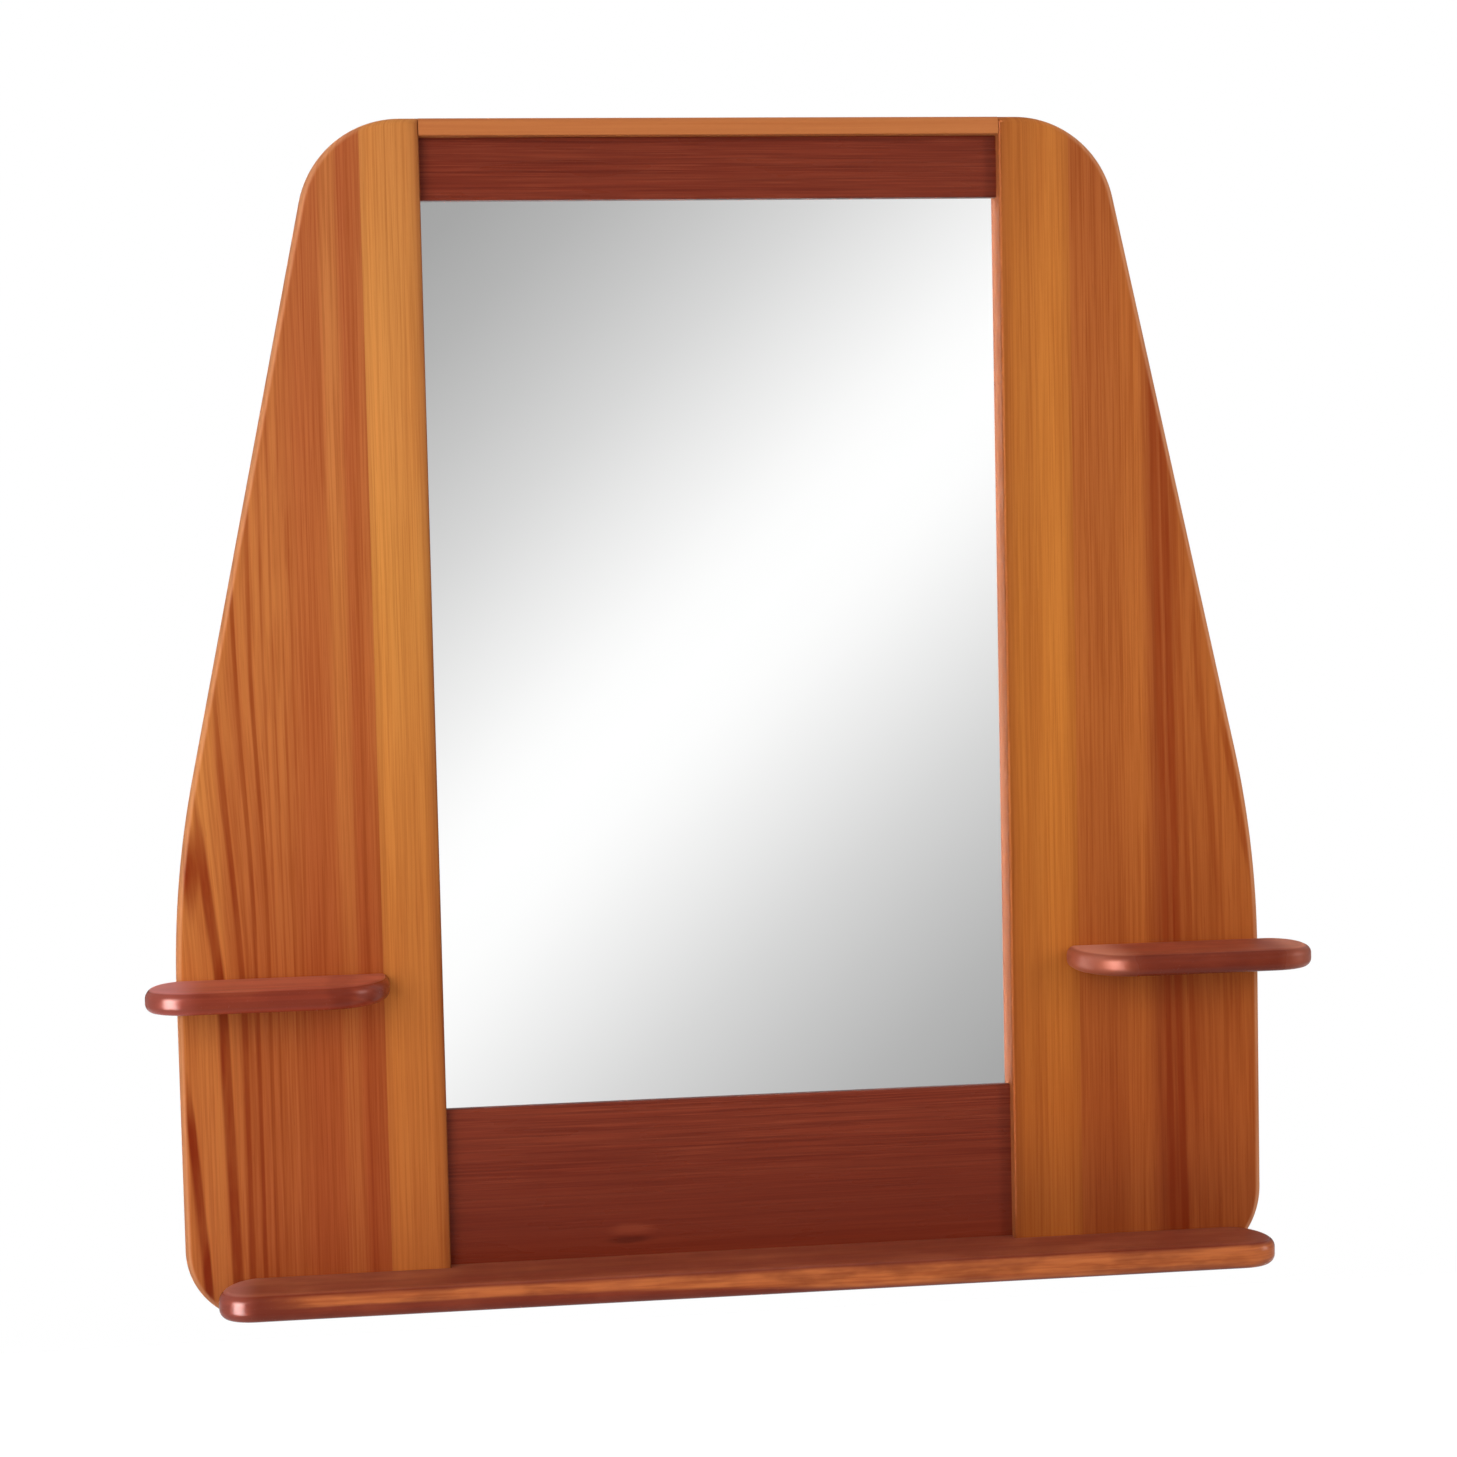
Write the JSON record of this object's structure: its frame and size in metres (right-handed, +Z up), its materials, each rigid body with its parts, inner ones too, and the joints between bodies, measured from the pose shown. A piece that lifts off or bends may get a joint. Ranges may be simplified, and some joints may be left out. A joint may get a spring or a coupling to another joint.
{
  "type": "wall mirror with shelf",
  "caption": "Upright wall mirror between shaped pine side boards, with a long rounded shelf below and a small shelf on each side board.",
  "frame": {"origin": "midway between the two hanger holes, in the plane of the back", "axes": "+X to the right seen from the front, +Y towards the wall, +Z up; the front faces -Y"},
  "size_m": [0.8, 0.075, 0.812],
  "materials": {
    "light_pine": "satin varnish over honey-stained pine",
    "red_pine": "satin varnish over red-stained pine",
    "dark_rail": "semi-gloss varnish over mahogany-stained pine",
    "beech_dowel": "raw fluted-dowel beech",
    "mirror": "silvered float glass",
    "hardboard": "raw hardboard",
    "nail_steel": "bright wire nails",
    "dark_shelf": "semi-gloss varnish over mahogany-stained pine",
    "screw_zinc": "yellow zinc plate",
    "plate_zinc": "bright zinc plate",
    "small_screw": "bright zinc plate"
  },
  "bodies": {
    "root": {"left_inner_stave": "light_pine", "left_outer_board": "red_pine", "right_inner_stave": "light_pine", "right_outer_board": "red_pine", "top_lip": "light_pine", "top_rail": "dark_rail", "bottom_rail": "dark_rail", "top_rail_dowels": "beech_dowel", "bottom_rail_dowels": "beech_dowel", "mirror_glass": "mirror", "back_panel": "hardboard", "back_panel_nails": "nail_steel", "bottom_shelf": "dark_shelf", "left_side_shelf": "dark_shelf", "right_side_shelf": "dark_shelf", "bottom_shelf_screws": "screw_zinc", "left_side_shelf_screws": "screw_zinc", "right_side_shelf_screws": "screw_zinc", "left_hanger_plate": "plate_zinc", "right_hanger_plate": "plate_zinc", "left_hanger_screws": "small_screw", "right_hanger_screws": "small_screw"}
  },
  "joints": []
}
